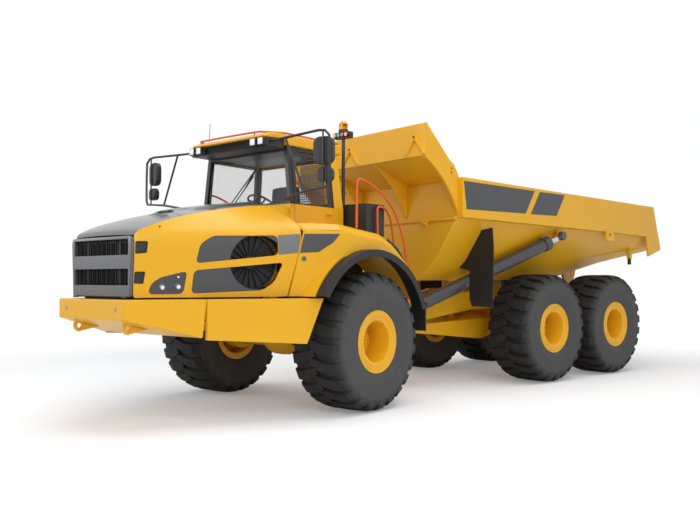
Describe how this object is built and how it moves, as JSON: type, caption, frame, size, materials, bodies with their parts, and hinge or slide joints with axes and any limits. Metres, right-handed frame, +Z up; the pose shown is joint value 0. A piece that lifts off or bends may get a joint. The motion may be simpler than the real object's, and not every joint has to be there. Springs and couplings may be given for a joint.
{
  "type": "articulated dump truck",
  "caption": "Articulated dump truck with a hinged front unit, raised load body, tilting hood, opening door and rolling wheels.",
  "frame": {"origin": "on the floor, at the middle of the parked machine's footprint", "axes": "+Z up, +X to the rear unit's left, +Y to its rear; the front unit faces -Y and is turned 9.35 degrees at the hitch"},
  "size_m": [3.9437, 11.3091, 3.983],
  "materials": {
    "body_yellow": "gloss paint",
    "rim_yellow": "satin paint",
    "dark_grey": "satin paint",
    "frame_yellow": "satin paint",
    "engine_grey": "plain",
    "cylinder_grey": "satin paint",
    "rod_chrome": "polished",
    "matt_black": "matte",
    "mast_black": "satin paint",
    "flare_rubber": "matte",
    "tyre_rubber": "matte",
    "window_glass": "clear",
    "lamp_lens": "clear lens",
    "interior_plastic": "grained",
    "rail_orange": "gloss paint"
  },
  "bodies": {
    "rear_frame": {"rear_frame": "frame_yellow", "axle_stays": "frame_yellow", "rear_axles": "frame_yellow"},
    "hitch": {"hitch": "frame_yellow"},
    "front_unit": {"front_frame": "frame_yellow", "front_axle": "frame_yellow", "bumper": "body_yellow", "side_skirts": "body_yellow", "engine_block": "engine_grey", "cooling_pack": "matt_black", "cab_shell": "body_yellow", "cab_windows": "window_glass", "cab_roof": "body_yellow", "roof_visor": "matt_black", "cab_interior": "interior_plastic", "mirrors": "matt_black", "fenders": "body_yellow", "fender_flares": "flare_rubber", "deck_boxes": "matt_black", "handrails": "rail_orange", "beacon_mast": "mast_black"},
    "hood": {"hood": "body_yellow", "hood_top": "dark_grey", "hood_vents": "dark_grey", "headlamps": "lamp_lens", "grille": "dark_grey"},
    "cab_door": {"cab_door": "body_yellow", "door_window": "window_glass"},
    "dump_body": {"dump_body": "body_yellow", "spill_guard": "body_yellow", "mudflaps": "matt_black"},
    "hoist_barrel_left": {"hoist_barrel_left": "cylinder_grey"},
    "hoist_rod_left": {"hoist_rod_left": "rod_chrome"},
    "steer_barrel_left": {"steer_barrel_left": "cylinder_grey"},
    "steer_rod_left": {"steer_rod_left": "rod_chrome"},
    "hoist_barrel_right": {"hoist_barrel_right": "cylinder_grey"},
    "hoist_rod_right": {"hoist_rod_right": "rod_chrome"},
    "steer_barrel_right": {"steer_barrel_right": "cylinder_grey"},
    "steer_rod_right": {"steer_rod_right": "rod_chrome"},
    "wheel_front_left": {"tyre_front_left": "tyre_rubber", "rim_front_left": "rim_yellow"},
    "wheel_front_right": {"tyre_front_right": "tyre_rubber", "rim_front_right": "rim_yellow"},
    "wheel_mid_left": {"tyre_mid_left": "tyre_rubber", "rim_mid_left": "rim_yellow"},
    "wheel_mid_right": {"tyre_mid_right": "tyre_rubber", "rim_mid_right": "rim_yellow"},
    "wheel_rear_left": {"tyre_rear_left": "tyre_rubber", "rim_rear_left": "rim_yellow"},
    "wheel_rear_right": {"tyre_rear_right": "tyre_rubber", "rim_rear_right": "rim_yellow"}
  },
  "joints": [
    {"name": "hitch_roll", "type": "hinge", "parent": "rear_frame", "child": "hitch", "pos_m": [-0.258, -0.777, 0.985], "axis": [0, 1, 0], "range_deg": [-15, 15]},
    {"name": "steer", "type": "hinge", "parent": "hitch", "child": "front_unit", "pos_m": [-0.258, -1.2295, 0.985], "axis": [0, 0, 1], "range_deg": [-54.35, 35.65]},
    {"name": "steer_swing_left", "type": "hinge", "parent": "front_unit", "child": "steer_barrel_left", "pos_m": [0.31848, -2.14551, 0.985], "axis": [0, 0, 1], "range_deg": [-1.16, 0.83]},
    {"name": "steer_slide_left", "type": "slide", "parent": "steer_barrel_left", "child": "steer_rod_left", "axis": [-0.23, 0.9732, 0], "range_m": [-0.2157, 0.3277]},
    {"name": "steer_swing_right", "type": "hinge", "parent": "front_unit", "child": "steer_barrel_right", "pos_m": [-0.51036, -2.28198, 0.985], "axis": [0, 0, 1], "range_deg": [-3.79, 2.55]},
    {"name": "steer_slide_right", "type": "slide", "parent": "steer_barrel_right", "child": "steer_rod_right", "axis": [-0.1017, 0.9948, 0], "range_m": [-0.3234, 0.2128]},
    {"name": "dump", "type": "hinge", "parent": "rear_frame", "child": "dump_body", "pos_m": [-0.258, 4.373, 1.5], "axis": [-1, 0, 0], "range_deg": [0, 70]},
    {"name": "hoist_swing_left", "type": "hinge", "parent": "rear_frame", "child": "hoist_barrel_left", "pos_m": [0.592, -0.397, 1.31], "axis": [0.4418, -0.4489, 0.7767], "range_deg": [-0.2, 7.74]},
    {"name": "hoist_slide_left", "type": "slide", "parent": "hoist_barrel_left", "child": "hoist_rod_left", "axis": [0.2519, 0.893, 0.3729], "range_m": [-0.002, 2.5395]},
    {"name": "hoist_swing_right", "type": "hinge", "parent": "rear_frame", "child": "hoist_barrel_right", "pos_m": [-1.108, -0.397, 1.31], "axis": [0.4418, 0.4489, -0.7767], "range_deg": [-0.2, 7.74]},
    {"name": "hoist_slide_right", "type": "slide", "parent": "hoist_barrel_right", "child": "hoist_rod_right", "axis": [-0.2519, 0.893, 0.3729], "range_m": [-0.002, 2.5395]},
    {"name": "hood_tilt", "type": "hinge", "parent": "front_unit", "child": "hood", "pos_m": [0.43434, -5.43438, 1.5], "axis": [0.9867, 0.1625, 0], "range_deg": [0, 80]},
    {"name": "door", "type": "hinge", "parent": "front_unit", "child": "cab_door", "pos_m": [0.91317, -3.03674, 2.66], "axis": [0.1146, 0.0189, -0.9932], "range_deg": [0, 85]},
    {"name": "wheel_front_left", "type": "hinge", "parent": "front_unit", "child": "wheel_front_left", "pos_m": [1.25012, -2.27639, 0.9], "axis": [0.9867, 0.1625, 0], "continuous": true},
    {"name": "wheel_front_right", "type": "hinge", "parent": "front_unit", "child": "wheel_front_right", "pos_m": [-1.35086, -2.70465, 0.9], "axis": [-0.9867, -0.1625, 0], "continuous": true},
    {"name": "wheel_mid_left", "type": "hinge", "parent": "rear_frame", "child": "wheel_mid_left", "pos_m": [1.06, 2.0105, 0.9], "axis": [1, 0, 0], "continuous": true},
    {"name": "wheel_mid_right", "type": "hinge", "parent": "rear_frame", "child": "wheel_mid_right", "pos_m": [-1.576, 2.0105, 0.9], "axis": [-1, 0, 0], "continuous": true},
    {"name": "wheel_rear_left", "type": "hinge", "parent": "rear_frame", "child": "wheel_rear_left", "pos_m": [1.06, 3.9505, 0.9], "axis": [1, 0, 0], "continuous": true},
    {"name": "wheel_rear_right", "type": "hinge", "parent": "rear_frame", "child": "wheel_rear_right", "pos_m": [-1.576, 3.9505, 0.9], "axis": [-1, 0, 0], "continuous": true}
  ],
  "couplings": [
    {"joint": "steer_swing_left", "follows": "steer", "ratio": 0.01737},
    {"joint": "steer_slide_left", "follows": "steer", "m_per_rad": -0.33999},
    {"joint": "steer_swing_right", "follows": "steer", "ratio": 0.06471},
    {"joint": "steer_slide_right", "follows": "steer", "m_per_rad": 0.3355},
    {"joint": "hoist_swing_left", "follows": "dump", "ratio": 0.10658},
    {"joint": "hoist_slide_left", "follows": "dump", "m_per_rad": 2.0667},
    {"joint": "hoist_swing_right", "follows": "dump", "ratio": 0.10658},
    {"joint": "hoist_slide_right", "follows": "dump", "m_per_rad": 2.0667}
  ]
}
